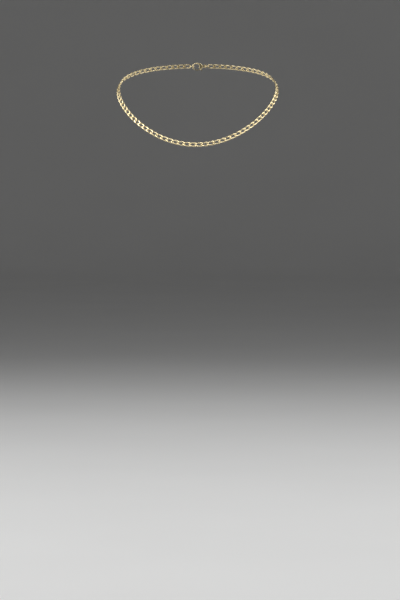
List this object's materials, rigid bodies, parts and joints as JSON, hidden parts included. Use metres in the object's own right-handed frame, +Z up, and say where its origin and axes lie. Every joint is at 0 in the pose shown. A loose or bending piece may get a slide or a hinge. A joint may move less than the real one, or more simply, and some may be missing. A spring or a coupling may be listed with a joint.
{
  "type": "chain necklace",
  "caption": "Flat open curb chain necklace in pale yellow gold, in separate interlocked links, with a sprung lobster clasp, a jump ring and an end ring at the nape.",
  "frame": {"origin": "centre of the clasp's face that lies against the nape of the neck, level with the line of pull through both rings", "axes": "+Z up, +X to the wearer's left and along the clasp, +Y back away from the neck; the front of the chain is towards -Y"},
  "size_m": [0.1388, 0.0999, 0.0728],
  "materials": {
    "gold_links": "polished pale yellow gold",
    "gold_clasp": "polished pale yellow gold, lightly worn",
    "spring_steel": "bare spring wire"
  },
  "bodies": {
    "clasp": {"clasp_body": "gold_clasp", "lever_pin": "gold_clasp", "lever_spring": "spring_steel"},
    "lever": {"clasp_lever": "gold_clasp"},
    "ring_right": {"clasp_jump_ring": "gold_clasp"},
    "ring_left": {"end_ring": "gold_clasp"},
    "back_right_4": {"back_links_right_4": "gold_links"},
    "back_right_3": {"back_links_right_3": "gold_links"},
    "back_right_2": {"back_links_right_2": "gold_links"},
    "back_right_1": {"back_links_right_1": "gold_links"},
    "right_22": {"link_right_22": "gold_links"},
    "right_21": {"link_right_21": "gold_links"},
    "right_20": {"link_right_20": "gold_links"},
    "right_19": {"link_right_19": "gold_links"},
    "right_18": {"link_right_18": "gold_links"},
    "right_17": {"link_right_17": "gold_links"},
    "right_16": {"link_right_16": "gold_links"},
    "right_15": {"link_right_15": "gold_links"},
    "right_14": {"link_right_14": "gold_links"},
    "right_13": {"link_right_13": "gold_links"},
    "right_12": {"link_right_12": "gold_links"},
    "right_11": {"link_right_11": "gold_links"},
    "right_10": {"link_right_10": "gold_links"},
    "right_09": {"link_right_09": "gold_links"},
    "right_08": {"link_right_08": "gold_links"},
    "right_07": {"link_right_07": "gold_links"},
    "right_06": {"link_right_06": "gold_links"},
    "right_05": {"link_right_05": "gold_links"},
    "right_04": {"link_right_04": "gold_links"},
    "right_03": {"link_right_03": "gold_links"},
    "right_02": {"link_right_02": "gold_links"},
    "right_01": {"link_right_01": "gold_links"},
    "back_left_4": {"back_links_left_4": "gold_links"},
    "back_left_3": {"back_links_left_3": "gold_links"},
    "back_left_2": {"back_links_left_2": "gold_links"},
    "back_left_1": {"back_links_left_1": "gold_links"},
    "left_22": {"link_left_22": "gold_links"},
    "left_21": {"link_left_21": "gold_links"},
    "left_20": {"link_left_20": "gold_links"},
    "left_19": {"link_left_19": "gold_links"},
    "left_18": {"link_left_18": "gold_links"},
    "left_17": {"link_left_17": "gold_links"},
    "left_16": {"link_left_16": "gold_links"},
    "left_15": {"link_left_15": "gold_links"},
    "left_14": {"link_left_14": "gold_links"},
    "left_13": {"link_left_13": "gold_links"},
    "left_12": {"link_left_12": "gold_links"},
    "left_11": {"link_left_11": "gold_links"},
    "left_10": {"link_left_10": "gold_links"},
    "left_09": {"link_left_09": "gold_links"},
    "left_08": {"link_left_08": "gold_links"},
    "left_07": {"link_left_07": "gold_links"},
    "left_06": {"link_left_06": "gold_links"},
    "left_05": {"link_left_05": "gold_links"},
    "left_04": {"link_left_04": "gold_links"},
    "left_03": {"link_left_03": "gold_links"},
    "left_02": {"link_left_02": "gold_links"},
    "left_01": {"link_left_01": "gold_links"}
  },
  "joints": [
    {"name": "lever_hinge", "type": "hinge", "parent": "clasp", "child": "lever", "pos_m": [0.00121, 0.0012, -0.00248], "axis": [0, 1, 0], "range_deg": [0, 18], "stiffness_Nm_per_rad": 0.002, "springref_deg": -17.19},
    {"name": "ring_right_turn", "type": "hinge", "parent": "clasp", "child": "ring_right", "pos_m": [0.00595, 0.0012, 0], "axis": [-1, 0, 0], "range_deg": [0, 20]},
    {"name": "back_right_4_turn", "type": "hinge", "parent": "ring_right", "child": "back_right_4", "pos_m": [0.00799, 0.00093, -0.0001], "axis": [-1, 0, 0], "range_deg": [0, 10]},
    {"name": "back_right_3_turn", "type": "hinge", "parent": "back_right_4", "child": "back_right_3", "pos_m": [0.02788, -0.00221, -0.00128], "axis": [-1, 0, 0], "range_deg": [0, 10]},
    {"name": "back_right_2_turn", "type": "hinge", "parent": "back_right_3", "child": "back_right_2", "pos_m": [0.04643, -0.00951, -0.00417], "axis": [-1, 0, 0], "range_deg": [0, 10]},
    {"name": "back_right_1_turn", "type": "hinge", "parent": "back_right_2", "child": "back_right_1", "pos_m": [0.06106, -0.02201, -0.0098], "axis": [-1, 0, 0], "range_deg": [0, 10]},
    {"name": "right_22_turn", "type": "hinge", "parent": "back_right_1", "child": "right_22", "pos_m": [0.06754, -0.03855, -0.01894], "axis": [-1, 0, 0], "range_deg": [0, 10]},
    {"name": "right_21_turn", "type": "hinge", "parent": "right_22", "child": "right_21", "pos_m": [0.06769, -0.0428, -0.02165], "axis": [-1, 0, 0], "range_deg": [0, 10]},
    {"name": "right_20_turn", "type": "hinge", "parent": "right_21", "child": "right_20", "pos_m": [0.06731, -0.04698, -0.02446], "axis": [-1, 0, 0], "range_deg": [0, 10]},
    {"name": "right_19_turn", "type": "hinge", "parent": "right_20", "child": "right_19", "pos_m": [0.06648, -0.05105, -0.02734], "axis": [-1, 0, 0], "range_deg": [0, 10]},
    {"name": "right_18_turn", "type": "hinge", "parent": "right_19", "child": "right_18", "pos_m": [0.06524, -0.05497, -0.03026], "axis": [-1, 0, 0], "range_deg": [0, 10]},
    {"name": "right_17_turn", "type": "hinge", "parent": "right_18", "child": "right_17", "pos_m": [0.06364, -0.05875, -0.03321], "axis": [-1, 0, 0], "range_deg": [0, 10]},
    {"name": "right_16_turn", "type": "hinge", "parent": "right_17", "child": "right_16", "pos_m": [0.06171, -0.06238, -0.03615], "axis": [-1, 0, 0], "range_deg": [0, 10]},
    {"name": "right_15_turn", "type": "hinge", "parent": "right_16", "child": "right_15", "pos_m": [0.0595, -0.06584, -0.03908], "axis": [-1, 0, 0], "range_deg": [0, 10]},
    {"name": "right_14_turn", "type": "hinge", "parent": "right_15", "child": "right_14", "pos_m": [0.05701, -0.06915, -0.04198], "axis": [-1, 0, 0], "range_deg": [0, 10]},
    {"name": "right_13_turn", "type": "hinge", "parent": "right_14", "child": "right_13", "pos_m": [0.05426, -0.07229, -0.04483], "axis": [-1, 0, 0], "range_deg": [0, 10]},
    {"name": "right_12_turn", "type": "hinge", "parent": "right_13", "child": "right_12", "pos_m": [0.05128, -0.07527, -0.04761], "axis": [-1, 0, 0], "range_deg": [0, 10]},
    {"name": "right_11_turn", "type": "hinge", "parent": "right_12", "child": "right_11", "pos_m": [0.04808, -0.07807, -0.05032], "axis": [-1, 0, 0], "range_deg": [0, 10]},
    {"name": "right_10_turn", "type": "hinge", "parent": "right_11", "child": "right_10", "pos_m": [0.04464, -0.08071, -0.05293], "axis": [-1, 0, 0], "range_deg": [0, 10]},
    {"name": "right_09_turn", "type": "hinge", "parent": "right_10", "child": "right_09", "pos_m": [0.041, -0.08316, -0.05541], "axis": [-1, 0, 0], "range_deg": [0, 10]},
    {"name": "right_08_turn", "type": "hinge", "parent": "right_09", "child": "right_08", "pos_m": [0.03714, -0.08543, -0.05776], "axis": [-1, 0, 0], "range_deg": [0, 10]},
    {"name": "right_07_turn", "type": "hinge", "parent": "right_08", "child": "right_07", "pos_m": [0.03308, -0.08749, -0.05994], "axis": [-1, 0, 0], "range_deg": [0, 10]},
    {"name": "right_06_turn", "type": "hinge", "parent": "right_07", "child": "right_06", "pos_m": [0.02881, -0.08933, -0.06192], "axis": [-1, 0, 0], "range_deg": [0, 10]},
    {"name": "right_05_turn", "type": "hinge", "parent": "right_06", "child": "right_05", "pos_m": [0.02436, -0.09094, -0.06368], "axis": [-1, 0, 0], "range_deg": [0, 10]},
    {"name": "right_04_turn", "type": "hinge", "parent": "right_05", "child": "right_04", "pos_m": [0.01973, -0.09229, -0.06518], "axis": [-1, 0, 0], "range_deg": [0, 10]},
    {"name": "right_03_turn", "type": "hinge", "parent": "right_04", "child": "right_03", "pos_m": [0.01495, -0.09337, -0.06638], "axis": [-1, 0, 0], "range_deg": [0, 10]},
    {"name": "right_02_turn", "type": "hinge", "parent": "right_03", "child": "right_02", "pos_m": [0.01004, -0.09416, -0.06727], "axis": [-1, 0, 0], "range_deg": [0, 10]},
    {"name": "right_01_turn", "type": "hinge", "parent": "right_02", "child": "right_01", "pos_m": [0.00504, -0.09464, -0.06782], "axis": [-1, 0, 0], "range_deg": [0, 10]},
    {"name": "ring_left_turn", "type": "hinge", "parent": "clasp", "child": "ring_left", "pos_m": [-0.00465, 0.0012, 0], "axis": [-1, 0, 0], "range_deg": [0, 20]},
    {"name": "back_left_4_turn", "type": "hinge", "parent": "ring_left", "child": "back_left_4", "pos_m": [-0.00799, 0.00093, -0.0001], "axis": [-1, 0, 0], "range_deg": [0, 10]},
    {"name": "back_left_3_turn", "type": "hinge", "parent": "back_left_4", "child": "back_left_3", "pos_m": [-0.02788, -0.00221, -0.00128], "axis": [-1, 0, 0], "range_deg": [0, 10]},
    {"name": "back_left_2_turn", "type": "hinge", "parent": "back_left_3", "child": "back_left_2", "pos_m": [-0.04643, -0.00951, -0.00417], "axis": [-1, 0, 0], "range_deg": [0, 10]},
    {"name": "back_left_1_turn", "type": "hinge", "parent": "back_left_2", "child": "back_left_1", "pos_m": [-0.06106, -0.02201, -0.0098], "axis": [-1, 0, 0], "range_deg": [0, 10]},
    {"name": "left_22_turn", "type": "hinge", "parent": "back_left_1", "child": "left_22", "pos_m": [-0.06754, -0.03855, -0.01894], "axis": [-1, 0, 0], "range_deg": [0, 10]},
    {"name": "left_21_turn", "type": "hinge", "parent": "left_22", "child": "left_21", "pos_m": [-0.06769, -0.0428, -0.02165], "axis": [-1, 0, 0], "range_deg": [0, 10]},
    {"name": "left_20_turn", "type": "hinge", "parent": "left_21", "child": "left_20", "pos_m": [-0.06731, -0.04698, -0.02446], "axis": [-1, 0, 0], "range_deg": [0, 10]},
    {"name": "left_19_turn", "type": "hinge", "parent": "left_20", "child": "left_19", "pos_m": [-0.06648, -0.05105, -0.02734], "axis": [-1, 0, 0], "range_deg": [0, 10]},
    {"name": "left_18_turn", "type": "hinge", "parent": "left_19", "child": "left_18", "pos_m": [-0.06524, -0.05497, -0.03026], "axis": [-1, 0, 0], "range_deg": [0, 10]},
    {"name": "left_17_turn", "type": "hinge", "parent": "left_18", "child": "left_17", "pos_m": [-0.06364, -0.05875, -0.03321], "axis": [-1, 0, 0], "range_deg": [0, 10]},
    {"name": "left_16_turn", "type": "hinge", "parent": "left_17", "child": "left_16", "pos_m": [-0.06171, -0.06238, -0.03615], "axis": [-1, 0, 0], "range_deg": [0, 10]},
    {"name": "left_15_turn", "type": "hinge", "parent": "left_16", "child": "left_15", "pos_m": [-0.0595, -0.06584, -0.03908], "axis": [-1, 0, 0], "range_deg": [0, 10]},
    {"name": "left_14_turn", "type": "hinge", "parent": "left_15", "child": "left_14", "pos_m": [-0.05701, -0.06915, -0.04198], "axis": [-1, 0, 0], "range_deg": [0, 10]},
    {"name": "left_13_turn", "type": "hinge", "parent": "left_14", "child": "left_13", "pos_m": [-0.05426, -0.07229, -0.04483], "axis": [-1, 0, 0], "range_deg": [0, 10]},
    {"name": "left_12_turn", "type": "hinge", "parent": "left_13", "child": "left_12", "pos_m": [-0.05128, -0.07527, -0.04761], "axis": [-1, 0, 0], "range_deg": [0, 10]},
    {"name": "left_11_turn", "type": "hinge", "parent": "left_12", "child": "left_11", "pos_m": [-0.04808, -0.07807, -0.05032], "axis": [-1, 0, 0], "range_deg": [0, 10]},
    {"name": "left_10_turn", "type": "hinge", "parent": "left_11", "child": "left_10", "pos_m": [-0.04464, -0.08071, -0.05293], "axis": [-1, 0, 0], "range_deg": [0, 10]},
    {"name": "left_09_turn", "type": "hinge", "parent": "left_10", "child": "left_09", "pos_m": [-0.041, -0.08316, -0.05541], "axis": [-1, 0, 0], "range_deg": [0, 10]},
    {"name": "left_08_turn", "type": "hinge", "parent": "left_09", "child": "left_08", "pos_m": [-0.03714, -0.08543, -0.05776], "axis": [-1, 0, 0], "range_deg": [0, 10]},
    {"name": "left_07_turn", "type": "hinge", "parent": "left_08", "child": "left_07", "pos_m": [-0.03308, -0.08749, -0.05994], "axis": [-1, 0, 0], "range_deg": [0, 10]},
    {"name": "left_06_turn", "type": "hinge", "parent": "left_07", "child": "left_06", "pos_m": [-0.02881, -0.08933, -0.06192], "axis": [-1, 0, 0], "range_deg": [0, 10]},
    {"name": "left_05_turn", "type": "hinge", "parent": "left_06", "child": "left_05", "pos_m": [-0.02436, -0.09094, -0.06368], "axis": [-1, 0, 0], "range_deg": [0, 10]},
    {"name": "left_04_turn", "type": "hinge", "parent": "left_05", "child": "left_04", "pos_m": [-0.01973, -0.09229, -0.06518], "axis": [-1, 0, 0], "range_deg": [0, 10]},
    {"name": "left_03_turn", "type": "hinge", "parent": "left_04", "child": "left_03", "pos_m": [-0.01495, -0.09337, -0.06638], "axis": [-1, 0, 0], "range_deg": [0, 10]},
    {"name": "left_02_turn", "type": "hinge", "parent": "left_03", "child": "left_02", "pos_m": [-0.01004, -0.09416, -0.06727], "axis": [-1, 0, 0], "range_deg": [0, 10]},
    {"name": "left_01_turn", "type": "hinge", "parent": "left_02", "child": "left_01", "pos_m": [-0.00504, -0.09464, -0.06782], "axis": [-1, 0, 0], "range_deg": [0, 10]}
  ],
  "couplings": [
    {"joint": "ring_left_turn", "follows": "ring_right_turn", "ratio": 1},
    {"joint": "back_left_4_turn", "follows": "back_right_4_turn", "ratio": 1},
    {"joint": "back_left_3_turn", "follows": "back_right_3_turn", "ratio": 1},
    {"joint": "back_left_2_turn", "follows": "back_right_2_turn", "ratio": 1},
    {"joint": "back_left_1_turn", "follows": "back_right_1_turn", "ratio": 1},
    {"joint": "left_22_turn", "follows": "right_22_turn", "ratio": 1},
    {"joint": "left_21_turn", "follows": "right_21_turn", "ratio": 1},
    {"joint": "left_20_turn", "follows": "right_20_turn", "ratio": 1},
    {"joint": "left_19_turn", "follows": "right_19_turn", "ratio": 1},
    {"joint": "left_18_turn", "follows": "right_18_turn", "ratio": 1},
    {"joint": "left_17_turn", "follows": "right_17_turn", "ratio": 1},
    {"joint": "left_16_turn", "follows": "right_16_turn", "ratio": 1},
    {"joint": "left_15_turn", "follows": "right_15_turn", "ratio": 1},
    {"joint": "left_14_turn", "follows": "right_14_turn", "ratio": 1},
    {"joint": "left_13_turn", "follows": "right_13_turn", "ratio": 1},
    {"joint": "left_12_turn", "follows": "right_12_turn", "ratio": 1},
    {"joint": "left_11_turn", "follows": "right_11_turn", "ratio": 1},
    {"joint": "left_10_turn", "follows": "right_10_turn", "ratio": 1},
    {"joint": "left_09_turn", "follows": "right_09_turn", "ratio": 1},
    {"joint": "left_08_turn", "follows": "right_08_turn", "ratio": 1},
    {"joint": "left_07_turn", "follows": "right_07_turn", "ratio": 1},
    {"joint": "left_06_turn", "follows": "right_06_turn", "ratio": 1},
    {"joint": "left_05_turn", "follows": "right_05_turn", "ratio": 1},
    {"joint": "left_04_turn", "follows": "right_04_turn", "ratio": 1},
    {"joint": "left_03_turn", "follows": "right_03_turn", "ratio": 1},
    {"joint": "left_02_turn", "follows": "right_02_turn", "ratio": 1},
    {"joint": "left_01_turn", "follows": "right_01_turn", "ratio": 1}
  ]
}
